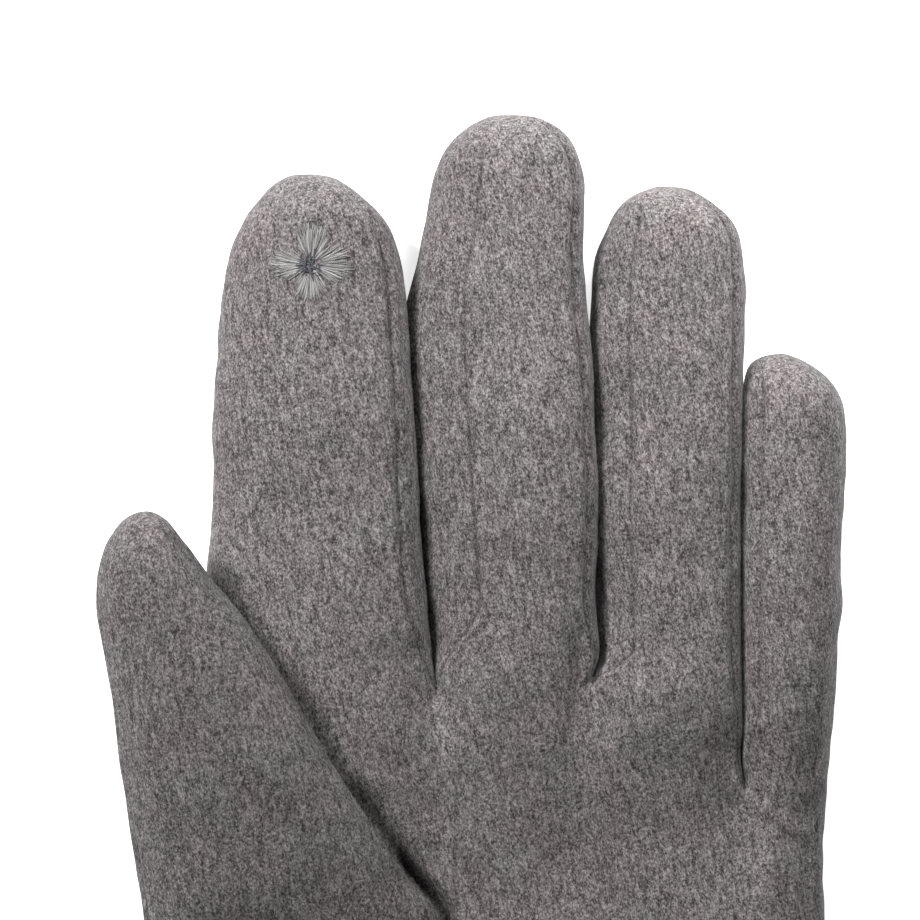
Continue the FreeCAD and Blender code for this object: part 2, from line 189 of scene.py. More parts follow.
THUMB_LEVELS = (-8.0, THUMB_SPLIT, 46.0)    # rows run straight across there
THUMB_ROOT_BEND = (-9.0, 11.0)    # it bends between these places, at the axis' height
THUMB_TIP_BEND = (20.0, 38.0)
THUMB_AXIS = 20.0
THUMB_CROTCH = 9.0       # how far along the thumb its crotch lies
THUMB_COLUMNS = 34       # over the outer panel, and over the inner one

# Creases on the palm side: width, depth (upwards if it is less than zero), route in plan
CREASES = (
    (0.8, 1.0, (-6.6, 41.0), (-5.9, 37.6), (-5.2, 35.6), (-5.3, 33.6)),
    (0.7, 0.35, (-8.2, 35.5), (-7.3, 33.8), (-5.6, 32.8), (-4.2, 33.6)),
    (0.8, 1.0, (19.4, 41.0), (19.2, 38.0), (18.2, 36.2), (17.4, 35.2)),
    (0.7, 0.45, (16.9, 44.0), (16.1, 38.0), (15.7, 32.0), (15.6, 28.0)),
    (0.6, -0.4, (17.6, 36.4), (16.9, 34.2)),
    (0.7, 0.5, (41.2, 27.0), (40.9, 24.0), (41.6, 19.8)),
    (0.9, -0.3, (40.2, 20.0), (42.6, 17.4), (46.0, 14.9), (50.0, 12.8)),
    (1.3, 0.25, (40.6, 17.6), (43.6, 15.0), (47.0, 12.6), (50.5, 10.8)),
    (1.2, 1.3, (-17.0, 19.6), (-9.0, 7.6), (-4.0, 1.4), (-2.2, -7.0)),
    (0.9, 1.6, (-10.4, 8.9), (-9.0, 7.1), (-4.2, 1.2), (-2.4, -7.0)))

# Touch patches
PATCH_CENTRE = (-24.1, 98.7)
THUMB_PATCH_AT = 46.0    # along the thumb
THREAD = 0.066           # radius of the embroidery thread
STAR_PETALS = (          # heading, reach, and half breadth as an angle
    (0.03, 6.5, 0.72), (3.12, 6.4, 0.62), (1.50, 6.3, 0.66), (-1.60, 6.0, 0.66))
PETAL_STITCHES = 86
RAY_STITCHES = 16        # dark ones that run out of the core
CORE_STITCHES = 60


# ---------------------------------------------------------------- curves and fields

def smooth_line(points, step=0.1):
    """A dense smooth line through the points (centripetal Catmull-Rom)."""
    points = np.asarray(points, float)
    ends = (2 * points[0] - points[1], 2 * points[-1] - points[-2])
    padded = np.vstack([ends[0], points, ends[1]])

    def between(a, b, t, start, end):
        return (end - t) / (end - start) * a + (t - start) / (end - start) * b

    pieces = []
    for i in range(1, len(padded) - 2):
        p0, p1, p2, p3 = padded[i - 1:i + 3]
        t1 = np.linalg.norm(p1 - p0) ** 0.5
        t2 = t1 + np.linalg.norm(p2 - p1) ** 0.5
        t3 = t2 + np.linalg.norm(p3 - p2) ** 0.5
        count = max(2, int(np.linalg.norm(p2 - p1) / step))
        t = np.linspace(t1, t2, count, endpoint=False)[:, None]
        middle = between(p1, p2, t, t1, t2)
        before = between(between(p0, p1, t, 0.0, t1), middle, t, 0.0, t2)
        after = between(middle, between(p2, p3, t, t2, t3), t, t1, t3)
        pieces.append(between(before, after, t, t1, t2))
    pieces.append(points[-1:])
    return np.vstack(pieces)


def lengths_along(line):
    """Running length at each point of a line."""
    return np.concatenate([[0.0], np.cumsum(np.linalg.norm(np.diff(line, axis=0), axis=1))])


def at_length(line, wanted):
    """Points of a line at the given running lengths."""
    run = lengths_along(line)
    return np.stack([np.interp(wanted, run, line[:, k]) for k in range(line.shape[1])], 1)


def smoothstep(x):
    x = np.clip(x, 0.0, 1.0)
    return x * x * (3 - 2 * x)


def bell(x):
    return np.exp(-x ** 2)


def nearness(x, y, place, reach):
    """One at a place in plan, fading out over its reach in x and in y."""
    return np.exp(-((x - place[0]) / reach[0]) ** 2 - ((y - place[1]) / reach[1]) ** 2)


def dome(to_tip, reach):
    """Height of a round end at a distance from its tip, one from the reach on."""
    return math.sqrt(1 - (1 - min(to_tip / reach, 1)) ** 2)


def signed_power(values, power):
    return np.sign(values) * np.abs(values) ** power


def unit(vectors):
    """The same vectors with length one."""
    return vectors / np.maximum(np.linalg.norm(vectors, axis=-1), TINY)[..., None]


def crowded(count):
    """Fractions from 0 to 1, closer together at both ends."""
    u = np.linspace(0.0, 1.0, count)
    return u - EDGE_CROWDING * np.sin(2 * math.pi * u) / (2 * math.pi)


def undulation(points, wavelength, seed):
    """A smooth random field with a spread of about one."""
    source = np.random.default_rng(seed)
    total = np.zeros(len(points))
    for _ in range(WAVES):
        direction = source.normal(size=3)
        direction /= np.linalg.norm(direction)
        length = wavelength * source.uniform(0.7, 1.5)
        start = source.uniform(0, 2 * math.pi)
        total += np.sin(points @ direction * (2 * math.pi / length) + start)
    return total / math.sqrt(WAVES / 2)


def ladder(left, right, levels, value=lambda line: line[:, 1]):
    """Rows between two contours, one of them at each level of a value along the contours.

    Returns the left and the right ends of the rows, and the row numbers of the start, of
    each level and of the end."""
    marks = [(0.0, 0.0)]
    for level in levels:
        marks.append([length_where(line, value(line), level) for line in (left, right)])
    marks.append((lengths_along(left)[-1], lengths_along(right)[-1]))
    rows_left, rows_right, numbers = [], [], [0]
    for (l0, r0), (l1, r1) in zip(marks, marks[1:]):
        count = max(2, round(max(l1 - l0, r1 - r0) / ROW_STEP))
        fraction = np.linspace(0.0, 1.0, count + 1)[1 if rows_left else 0:]
        rows_left.append(l0 + (l1 - l0) * fraction)
        rows_right.append(r0 + (r1 - r0) * fraction)
        numbers.append(numbers[-1] + count)
    return (at_length(left, np.concatenate(rows_left)),
            at_length(right, np.concatenate(rows_right)), numbers)


def length_where(line, values, level):
    """Running length at which the given values along a line first pass a level."""
    passed = np.nonzero((values[:-1] - level) * (values[1:] - level) <= 0)[0][0]
    return lengths_along(line)[passed]


# ---------------------------------------------------------------- the surface

class Surface:
    """Points and four-cornered faces, with a panel name and a stretch name on each face."""

    def __init__(self):
        self.points, self.faces, self.panels, self.stretches = [], [], [], []
        self.count = 0

    def add_tube(self, rings, panel_of_column, stretch_of_row, closed=True):
        """Rings of points, row by row, joined into faces."""
        rows, columns = rings.shape[:2]
        start = self.count
        self.points.append(rings.reshape(-1, 3))
        self.count += rows * columns
        index = start + np.arange(rows * columns).reshape(rows, columns)
        across = np.roll(index, -1, axis=1) if closed else index[:, 1:]
        index = index if closed else index[:, :-1]
        faces = np.stack([index[:-1], across[:-1], across[1:], index[1:]], -1)
        self.faces.append(faces.reshape(-1, 4))
        for row in range(rows - 1):
            self.panels += list(panel_of_column)
            self.stretches += [stretch_of_row[row]] * faces.shape[1]

    def finish(self):
        """Welds points in the same place and drops faces without area."""
        points = np.vstack(self.points)
        faces = np.vstack(self.faces)
        _, first, where = np.unique(np.round(points, 4), axis=0, return_index=True,
                                    return_inverse=True)
        self.points = points[first]
        self.faces = where.reshape(-1)[faces]
        self.panels, self.stretches = np.array(self.panels), np.array(self.stretches)
        self.keep(np.array([len(set(face)) > 2 for face in self.faces.tolist()]))
        return self

    def keep(self, mask):
        self.faces, self.panels = self.faces[mask], self.panels[mask]
        self.stretches = self.stretches[mask]

    def polygons(self):
        """The faces as lists of their distinct corners."""
        return [list(dict.fromkeys(face)) for face in self.faces.tolist()]

    def normals(self):
        """Outward unit normal at each point."""
        corners = self.points[self.faces]
        across = np.cross(corners[:, 2] - corners[:, 0], corners[:, 3] - corners[:, 1])
        normals = np.zeros_like(self.points)
        for corner in range(4):
            np.add.at(normals, self.faces[:, corner], across)
        return unit(normals)

    def neighbours(self):
        """Pairs of joined points, each both ways round."""
        edges = np.vstack([self.faces[:, [k, (k + 1) % 4]] for k in range(4)])
        edges = np.unique(np.sort(edges, axis=1), axis=0)
        edges = edges[edges[:, 0] != edges[:, 1]]
        return np.vstack([edges, edges[:, ::-1]]).T

    def relax_tips(self, tips, reach, rounds):
        """Evens out the rings of points that close a fingertip."""
        weight = np.zeros(len(self.points))
        for tip in tips:
            gap = np.linalg.norm(self.points[:, :2] - np.array(tip), axis=1)
            near = smoothstep((reach - gap) / (0.6 * reach))
            weight = np.maximum(weight, EVEN_WEIGHT * near)
        self.relax(weight, rounds)

    def relax(self, weight, rounds):
        """Evens the surface out: each point moves towards the mean of its neighbours."""
        one, other = self.neighbours()
        degree = np.maximum(np.bincount(one, minlength=len(self.points)), 1)[:, None]
        for _ in range(rounds):
            mean = np.zeros_like(self.points)
            np.add.at(mean, one, self.points[other])
            self.points += weight[:, None] * (mean / degree - self.points)

    def seam_points(self):
        """Numbers of the points where two panels meet."""
        owners = {}
        for face, panel in zip(self.faces.tolist(), self.panels.tolist()):
            for corner in face:
                owners.setdefault(corner, set()).add(panel)
        return np.array(sorted(point for point, names in owners.items() if len(names) > 1))

    def distance_from(self, sources, reach):
        """Distance along the surface from the source points, up to a reach."""
        one, other = self.neighbours()
        long = np.linalg.norm(self.points[one] - self.points[other], axis=1)
        distance = np.full(len(self.points), reach)
        distance[sources] = 0.0
        for _ in range(int(reach / SHORTEST_EDGE)):
            before = distance.copy()
            np.minimum.at(distance, one, before[other] + long)
            if np.allclose(before, distance):
                break
        return distance

    def tree(self):
        return BVHTree.FromPolygons(self.points.tolist(), self.polygons())

    def full_room(self):
        return np.full(len(self.points), DEPTHS[-1])

    def ready(self, near_seam, normals, room):
        """Keeps what the walls of cloth are made from."""
        self.near_seam, self.out, self.room = near_seam, normals, room


def section(half_width, roll):
    """Dense closed section, clockwise from the left contour over the top: x from -1 to 1, and z."""
    angle = math.pi - np.linspace(0.0, 2 * math.pi, SECTION_POINTS)
    up = np.sin(angle) >= 0
    power = np.where(up, 2 / TOP_SQUARENESS, 2 / UNDER_SQUARENESS)
    x = signed_power(np.cos(angle), power) * half_width
    z = signed_power(np.sin(angle), power) * np.where(up, FINGER_TOP, FINGER_MIDDLE - TABLE)
    turn = math.radians(roll)
    turned = x * math.cos(turn) - z * math.sin(turn)
    height = x * math.sin(turn) + z * math.cos(turn) + FINGER_MIDDLE
    height = TABLE + np.logaddexp(0.0, (height - TABLE) * TABLE_EASE) / TABLE_EASE
    turned = 2 * (turned - turned.min()) / (turned.max() - turned.min()) - 1
    return turned, height


def divide_section(x, z, half_width, seams, back_seams):
    """The section's columns: front, right side, back, left side, each with its first seam."""
    order = np.roll(np.arange(len(x) - 1), -int(np.argmin(x)))
    x, z = x[order], z[order]
    split = int(np.argmax(x))
    front_left = np.argmax(x[:split] > -1 + seams[0] / half_width)
    front_right = np.argmax(x[:split] > 1 - seams[1] / half_width)
    back_right = split + np.argmax(x[split:] < 1 - back_seams[1] / half_width)
    back_left = split + np.argmax(x[split:] < -1 + back_seams[0] / half_width)
    line = np.stack([x * half_width, z], 1)
    line = np.vstack([line, line[:front_left + 1]])
    stops = (front_left, front_right, back_right, back_left, len(x) + front_left)
    counts = (FRONT_COLUMNS, SIDE_COLUMNS, FRONT_COLUMNS, SIDE_COLUMNS)
    columns = []
    for first, last, count in zip(stops, stops[1:], counts):
        piece = line[first:last + 1]
        run = lengths_along(piece)
        columns.append(at_length(piece, run[-1] * crowded(count + 1)[:-1]))
    columns = np.vstack(columns)
    return columns[:, 0] / half_width, columns[:, 1]


def column_names(finger):
    """Panel of each column's face, round a finger. Gussets lie where fingers are neighbours."""
    half = SIDE_COLUMNS // 2
    right, left = ["palm"] * half + ["back"] * half, ["back"] * half + ["palm"] * half
    if finger != "little":
        right = ["gusset"] * SIDE_COLUMNS
    if finger != "index":
        left = ["gusset"] * SIDE_COLUMNS
    return ["palm"] * FRONT_COLUMNS + right + ["back"] * FRONT_COLUMNS + left


def palm_rings():
    """Rows of the palm and cuff, from the crotches down to the mouth.

    Each row is front (left to right), right side, back (right to left), left side."""
    left, right = smooth_line(PALM_LEFT), smooth_line(PALM_RIGHT)
    levels = (PALM_LEVEL_BY, WRIST_SPLIT, WRIST_LINE, HEM_LINE)
    ends_left, ends_right, numbers = ladder(left, right, levels)

    corners = np.array([PALM_LEFT[0]] + CROTCHES + [PALM_RIGHT[0]], float)
    corners[0, 0] += OUTER_EDGE
    corners[-1, 0] -= OUTER_EDGE
    steps = crowded(FRONT_COLUMNS + 1)[:-1, None]
    spans = [a + (b - a) * steps for a, b in zip(corners, corners[1:])]
    top_row = np.vstack(spans + [corners[-1:]])
    (left_x, left_y), (right_x, right_y) = PALM_LEFT[0], PALM_RIGHT[0]
    wide = right_x - left_x
    share = (top_row[:, 0] - left_x) / wide
    offset = top_row[:, 1] - (left_y + (right_y - left_y) * share)

    rings = []
    for row, (a, b) in enumerate(zip(ends_left, ends_right)):
        fade = 1 - smoothstep(row / numbers[1])
        width = b[0] - a[0]
        narrower = (1 - 2 * OUTER_EDGE / width) / (1 - 2 * OUTER_EDGE / wide)
        share_row = 0.5 + (share - 0.5) * narrower
        x = a[0] + width * share_row
        y = a[1] + (b[1] - a[1]) * share_row + offset * fade
        rings.append(palm_ring(x, y, a, b))
    return np.array(rings), numbers


def palm_ring(x, y, a, b):
    """One row of the palm: the front line given in plan, wrapped round both edges and behind."""
    down = (PALM_LEFT[0][1] - a[1]) / (PALM_LEFT[0][1] - PALM_LEFT[-1][1])
    rise = PALM_TOP + (CUFF_TOP - PALM_TOP) * smoothstep((down - FLATTER_FROM) / FLATTER_OVER)
    edge = np.minimum(x - a[0], b[0] - x)
    round_off = np.sqrt(np.maximum(0.0, 1 - (1 - np.minimum(edge / PALM_EDGE, 1)) ** 2)) ** 0.8
    front = PALM_MIDDLE + rise * round_off
    front = front - PALM_HOLLOW * nearness(x, y, HOLLOW_PLACE, HOLLOW_REACH)
    behind = PALM_MIDDLE - (PALM_MIDDLE - TABLE) * round_off ** 0.7
    for crotch in CROTCHES:
        near = nearness(x, y, crotch, CROTCH_REACH)
        front = front - CROTCH_DIP_FRONT * near
        behind = behind + CROTCH_DIP_BACK * near
    line = np.stack([x, y, front], 1)
    back_line = np.stack([x, y, behind], 1)[::-1]
    return np.vstack([line[:-1], palm_side(line[-1], back_line[0], b), back_line[:-1],
                      palm_side(back_line[-1], line[0], a)])


def palm_side(start, end, contour):
    """The rounded edge of the palm between the front line and the back line, without its end."""
    angle = np.linspace(0.0, math.pi, 61)
    out = contour[0] - start[0]
    x = start[0] + out * np.sin(angle) ** 0.75
    middle, half = (start[2] + end[2]) / 2, (start[2] - end[2]) / 2
    z = middle + half * np.cos(angle)
    y = np.full_like(x, contour[1]) + (start[1] - contour[1]) * np.cos(angle) ** 2
    line = np.stack([x, y, z], 1)
    run = lengths_along(line)
    points = at_length(line, run[-1] * crowded(SIDE_COLUMNS + 1)[:-1])
    points[0] = start
    return points


def finger_rings(name, number, palm_row):
    """Rows of one finger. Row 0 is the palm's own first row over that finger."""
    finger = FINGERS[name]
    contour = np.array(finger["contour"], float)
    tip = finger["tip"]
    line = smooth_line(contour)
    at_tip = int(np.argmin(np.linalg.norm(line - contour[tip], axis=1)))
    left, right = line[:at_tip + 1], line[at_tip:][::-1]
    levels = (finger["level_from"],) + finger["splits"]
    ends_left, ends_right, numbers = ladder(left, right, levels)

    half_widths = np.linalg.norm(ends_right - ends_left, axis=1) / 2
    usual = float(np.median(half_widths))
    x, z = section(usual, finger["roll"])
    u, heights = divide_section(x, z, usual, finger["seams"], finger["back_seams"])

    first = first_ring(name, number, palm_row)
    a, b = contour[0], contour[-1]
    along = (b - a) / np.linalg.norm(b - a)
    half = np.linalg.norm(b - a) / 2
    u_first = (first[:, :2] - (a + b) / 2) @ along / half

    run = (lengths_along(ends_left) + lengths_along(ends_right)) / 2
    rings = [first]
    for row in range(1, len(ends_left)):
        a, b = ends_left[row], ends_right[row]
        half = half_widths[row]
        along = (b - a) / max(2 * half, TINY)
        blend = smoothstep(run[row] / ROOT_BLEND)
        half = half + FULLNESS * blend * min(1.0, half / FULL_FROM)
        high = dome(np.linalg.norm((a + b) / 2 - contour[tip]), TIP_DOME)
        shape = FINGER_MIDDLE - TIP_DROOP * (1 - high) + (heights - FINGER_MIDDLE) * high
        across = u_first * (1 - blend) + u * blend
        height = first[:, 2] * (1 - blend) + shape * blend
        plan = (a + b) / 2 + along * half * across[:, None]
        rings.append(np.column_stack([plan, height]))
    return np.array(rings), numbers


def first_ring(name, number, palm_row):
    """A finger's share of the palm's first row, closed by straight lines at its crotches."""
    total = 4 * FRONT_COLUMNS
    start, end = number * FRONT_COLUMNS, (number + 1) * FRONT_COLUMNS
    back_end = 2 * total + SIDE_COLUMNS
    front = palm_row[start:end]
    back = palm_row[back_end - end:back_end - start]
    steps = crowded(SIDE_COLUMNS + 1)[:-1, None]
    right = palm_row[end] + (back[0] - palm_row[end]) * steps
    left_start = palm_row[(back_end - start) % len(palm_row)]
    left = left_start + (front[0] - left_start) * steps
    if name == "little":
        right = palm_row[total:total + SIDE_COLUMNS]
    if name == "index":
        left = palm_row[back_end:]
    return np.vstack([front, right, back, left])


def hand_surface():
    """The whole glove without its thumb."""
    surface = Surface()
    palm, numbers = palm_rings()
    half = SIDE_COLUMNS // 2
    names = (["palm"] * (4 * FRONT_COLUMNS + half) + ["back"] * (2 * half + 4 * FRONT_COLUMNS)
             + ["palm"] * half)
    stretches = ["hand"] * numbers[2] + ["cuff"] * (numbers[4] - numbers[2])
    stretches += ["hem"] * (numbers[5] - numbers[4])
    surface.add_tube(palm[::-1], names, stretches[::-1])
    for number, name in enumerate(FINGERS):
        rings, marks = finger_rings(name, number, palm[0])
        stretches = ([name + "_base"] * marks[2] + [name + "_middle"] * (marks[3] - marks[2])
                     + [name + "_tip"] * (marks[4] - marks[3]))
        surface.add_tube(rings, column_names(name), stretches)
    return surface.finish()


def thumb_point(v):
    """Plan point at v along the thumb from its pivot."""
    return THUMB_PIVOT + v * np.array([-math.sin(THUMB_LEAN), math.cos(THUMB_LEAN)])


def along_thumb(points):
    """How far along the thumb from its pivot plan points lie."""
    return (points - THUMB_PIVOT) @ (thumb_point(1.0) - thumb_point(0.0))


def thumb_surface():
    """The thumb's sleeve, from below the palm's surface at the heel to its tip."""
    left, right = smooth_line(THUMB_LEFT), smooth_line(THUMB_RIGHT)
    ends_left, ends_right, numbers = ladder(left, right, THUMB_LEVELS, along_thumb)
    heights = smooth_line(
        np.column_stack([THUMB_STATIONS, THUMB_TOPS, THUMB_UNDERS, THUMB_EDGES]))
    unit_x, unit_z = thumb_columns()
    rings = []
    for a, b in zip(ends_left, ends_right):
        half = np.linalg.norm(b - a) / 2
        v = float(along_thumb((a + b) / 2))
        top, under, middle = (np.interp(v, heights[:, 0], heights[:, k]) for k in (1, 2, 3))
        high = dome(np.linalg.norm((a + b) / 2 - left[-1]), THUMB_DOME)
        height = middle + np.where(unit_z > 0, top - middle, middle - under) * unit_z * high
        free = smoothstep((v - THUMB_FREE_FROM) / THUMB_FREE_OVER)
        hang = ((1 - unit_x) / 2) ** 1.6 * high
        height -= THUMB_DROOP * free * (THUMB_TIP_DROOP * (1 - high) + hang)
        direction = (b - a) / max(2 * half, TINY)
        plan = (a + b) / 2 + direction * half * unit_x[:, None]
        rings.append(np.column_stack([plan, height]))
    surface = Surface()
    names = ["outer"] * THUMB_COLUMNS + ["inner"] * THUMB_COLUMNS
    stretches = ["thumb_base"] * numbers[2] + ["thumb_tip"] * (numbers[4] - numbers[2])
    surface.add_tube(np.array(rings), names, stretches)
    return surface.finish()


def thumb_columns():
    """The thumb's section with unit half sizes: outer panel from the left seam, then the inner."""
    spans = ((math.pi - THUMB_SEAM, 0.0), (0.0, -math.pi - THUMB_SEAM))
    steps = crowded(THUMB_COLUMNS + 1)[:-1]
    angle = np.concatenate([start + (end - start) * steps for start, end in spans])
    power = 2 / THUMB_SQUARENESS
    return signed_power(np.cos(angle), power), signed_power(np.sin(angle), power)


# ---------------------------------------------------------------- shaping the surface

def press_seams(surface, tips, fades, pucker):
    """Grooves along the seams, with a slight pucker, and how near each point is to a seam, for the
    painted shade in the grooves.

    They fade out towards the fingertips, where the seams meet."""
    width = SEAM_WIDTH
    distance = surface.distance_from(surface.seam_points(), 4 * width)
    normals = surface.normals()
    gaps = [np.linalg.norm(surface.points[:, :2] - np.array(tip), axis=1) / reach
            for tip, reach in zip(tips, fades)]
    fade = smoothstep(np.min(gaps, axis=0))
    groove = fade * bell(distance / width)
    lip = fade * bell((distance - 2.2 * width) / width)
    uneven = pucker * undulation(surface.points, 5.5, 11) * bell(distance / (3 * width))
    surface.points += normals * (SEAM_LIP * lip - SEAM_DEPTH * groove + uneven)[:, None]
    return groove


def swell(surface, amount):
    """The soft unevenness of worn fabric: long swells and small dimples."""
    normals = surface.normals()
    lift = sum(height * undulation(surface.points, wave, seed) for height, wave, seed in SWELLS)
    surface.points += normals * (amount * lift)[:, None]


def gather_wrist(surface):
    """Small folds where the elastic draws the palm side of the wrist in."""
    points = surface.points
    x, y, z = points.T
    lengthwise = points * (1.0, 0.1, 0.1)
    reach = GATHER_REACH + 1.5 * undulation(lengthwise, 9.0, 12)
    near = bell((y - ELASTIC_LINE) / reach) * (z > PALM_MIDDLE)
    left, right = GATHER_SIDES
    inside = smoothstep((x - left) / 8.0) * smoothstep((right - x) / 8.0)
    phase = x / GATHER_WAVE * 2 * math.pi + 0.6 * undulation(points, 26.0, 8)
    depth = GATHER_DEPTH * np.clip(1 + 0.4 * undulation(lengthwise, 14.0, 9), 0.6, 1.2)
    points[:, 2] += near * inside * (depth * np.sin(phase) - 1.0)


def crease(surface, route, width, depth):
    """A fold pressed into the palm side along a route in plan."""
    line = smooth_line(route, 0.3)
    points = surface.points
    gap = np.min(np.linalg.norm(points[:, None, :2] - line[None], axis=2), axis=1)
    points[:, 2] -= depth * bell(gap / width) * (points[:, 2] > PALM_MIDDLE)


def stay_on_table(points):
    points[:, 2] = np.maximum(points[:, 2], TABLE)


# ---------------------------------------------------------------- pieces

def add_to_scene(name, data):
    thing = bpy.data.objects.new(name, data)
    bpy.context.scene.collection.objects.link(thing)
    return thing


def new_mesh(name, points, faces, material, fields):
    """A smooth-shaded object from points in millimetres, with named values on its points."""
    mesh = bpy.data.meshes.new(name)
    mesh.from_pydata((np.asarray(points) * MM).tolist(), [], faces)
    mesh.update()
    rest = mesh.attributes.new("rest", "FLOAT_VECTOR", "POINT")
    rest.data.foreach_set("vector", np.asarray(points, np.float32).ravel())
    for field, values in fields.items():
        attribute = mesh.attributes.new(field, "FLOAT", "POINT")
        attribute.data.foreach_set("value", np.asarray(values, np.float32))
    mesh.shade_smooth()
    mesh.materials.append(material)
    return add_to_scene(name, mesh)


def inward_room(surface, tree, normals):
    """How deep each point can go inwards before it comes too near another part of the surface."""
    room = surface.full_room()
    for i, (point, normal) in enumerate(zip(surface.points, normals)):
        for depth in DEPTHS[::-1]:
            _, _, _, distance = tree.find_nearest(Vector(point - normal * depth))
            if distance > ROOM_CLEAR * depth:
                break
        room[i] = depth
    one, other = surface.neighbours()
    for _ in range(3):
        lowest = room.copy()
        np.minimum.at(lowest, one, room[other] + ROOM_STEP)
        room = lowest
    return room


def wall(name, surface, mask, layer, material):
    """A closed wall of cloth over the chosen faces. layer is its depth below the surface
    and its thickness. Where there is little room inwards, as in a crotch, both are less."""
    used, faces = np.unique(surface.faces[mask], return_inverse=True)
    faces = faces.reshape(-1, 4)
    share = surface.room[used] / DEPTHS[-1]
    depth, thickness = layer
    outer = surface.points[used] - surface.out[used] * (depth * share)[:, None]
    inner = outer - surface.out[used] * (thickness * share)[:, None]
    count = len(used)
    polygons = [[c for i, c in enumerate(face) if c != face[i - 1]] for face in faces.tolist()]
    edges = dict.fromkeys((a, b) for corners in polygons
                          for a, b in zip(corners, corners[1:] + corners[:1]))
    border = [(a, b) for a, b in edges if (b, a) not in edges]
    polygons += [[c + count for c in reversed(corners)] for corners in polygons[:]]
    polygons += [[a, a + count, b + count, b] for a, b in border]
    piece = new_mesh(name, np.vstack([outer, inner]), polygons, material,
                     {"near_seam": np.tile(surface.near_seam[used], 2)})
    rims = border + [(a + count, b + count) for a, b in border]
    mark_sharp(piece, {tuple(sorted(edge)) for edge in rims})
    return piece


def mark_sharp(piece, wanted):
    """Keeps the shading of a wall's faces apart from that of its cut edges."""
    edges = piece.data.edges
    sharp = [tuple(sorted(edge.vertices)) in wanted for edge in edges]
    attribute = piece.data.attributes.new("sharp_edge", "BOOLEAN", "EDGE")
    attribute.data.foreach_set("value", sharp)


def attach(piece, body, bend, node):
    """Rides on a body, or, where a bend is given, keeps its place baked into its points; the bend's
    bodies and points are not used here.

    A node is the CAD solid that the piece stands for."""
    if bend:
        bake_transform(piece)
    else:
        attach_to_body(piece, body)
    if node:
        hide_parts(node)


# ---------------------------------------------------------------- materials

class Nodes:
    """Short calls for building a node material."""

    def __init__(self, name):
        self.material = bpy.data.materials.new(name)
        self.material.use_nodes = True
        self.tree = self.material.node_tree
        self.shader = self.tree.nodes["Principled BSDF"]

    def add(self, kind, settings=None, **inputs):
        node = self.tree.nodes.new(kind)
        for key, value in (settings or {}).items():
            setattr(node, key, value)
        for key, value in inputs.items():
            self.put(node, key, value)
        return node

    def put(self, node, key, value):
        """Links or sets an input, given as its name with underscores or as i and its number."""
        numbered = key[0] == "i" and key[1:].isdigit()
        socket = node.inputs[int(key[1:]) if numbered else key.replace("_", " ")]
        if isinstance(value, bpy.types.NodeSocket):
            self.tree.links.new(value, socket)
        else:
            socket.default_value = value

    def math(self, operation, a, b=0.0):
        return self.add("ShaderNodeMath", {"operation": operation}, i0=a, i1=b).outputs[0]

    def rest(self):
        """Place on the cloth at rest, in millimetres."""
        return self.add("ShaderNodeAttribute", {"attribute_name": "rest"}).outputs["Vector"]

    def field(self, name):
        return self.add("ShaderNodeAttribute", {"attribute_name": name}).outputs["Fac"]

    def stretched(self, vector, scale, turn):
        turned = self.add("ShaderNodeMapping", Vector=vector, Rotation=turn).outputs["Vector"]
        return self.add("ShaderNodeMapping", Vector=turned, Scale=scale).outputs["Vector"]

    def noise(self, vector, scale, detail, roughness, distortion=0.0):
        return self.add("ShaderNodeTexNoise", Vector=vector, Scale=scale, Detail=detail,
                        Roughness=roughness, Distortion=distortion).outputs["Fac"]

    def spread(self, value, low, high, new_low=0.0, new_high=1.0):
        return self.add("ShaderNodeMapRange", {"clamp": True}, Value=value, From_Min=low,
                        From_Max=high, To_Min=new_low, To_Max=new_high).outputs["Result"]

    def mix(self, share, a, b, blend="MIX"):
        return self.add("ShaderNodeMix", {"data_type": "RGBA", "blend_type": blend},
                        i0=share, i6=a, i7=b).outputs[2]

    def total(self, *parts):
        """Sum of pairs of a value and its share."""
        total = 0.0
        for value, share in parts:
            total = self.math("ADD", total, self.math("MULTIPLY", value, share))
        return total

    def bands(self, direction, scale, distortion):
        return self.add("ShaderNodeTexWave", {"wave_type": "BANDS", "bands_direction": direction},
                        Vector=self.rest(), Scale=scale, Distortion=distortion).outputs["Fac"]

    def finish(self, colour, height, depth, strength, **sockets):
        bump = self.add("ShaderNodeBump", Height=height, Distance=depth * MM, Strength=strength)
        self.put(self.shader, "Base_Color", colour)
        self.put(self.shader, "Normal", bump.outputs["Normal"])
        for key, value in sockets.items():
            self.put(self.shader, key, value)
        return self.material


def grey(level, warm=0.0):
    """A linear grey, slightly warm."""
    return (level * (1 + warm), level, level * (1 - 0.2 * warm), 1.0)


FIBRE_LEAN = math.radians(-11.0)     # the nap leans a little off the glove's length
FIBRES = (               # share, squeeze along the nap, and the noise: scale, detail, roughness,
    (0.38, 0.7, (2.8, 3.0, 0.62, 0.25)),     # distortion. The last two are streaks and clumps.
    (0.32, 0.6, (4.8, 2.0, 0.55, 0.0)),
    (0.17, 0.2, (1.7, 2.0, 0.5, 0.0)),
    (0.13, 0.6, (1.15, 2.0, 0.5, 0.0)))


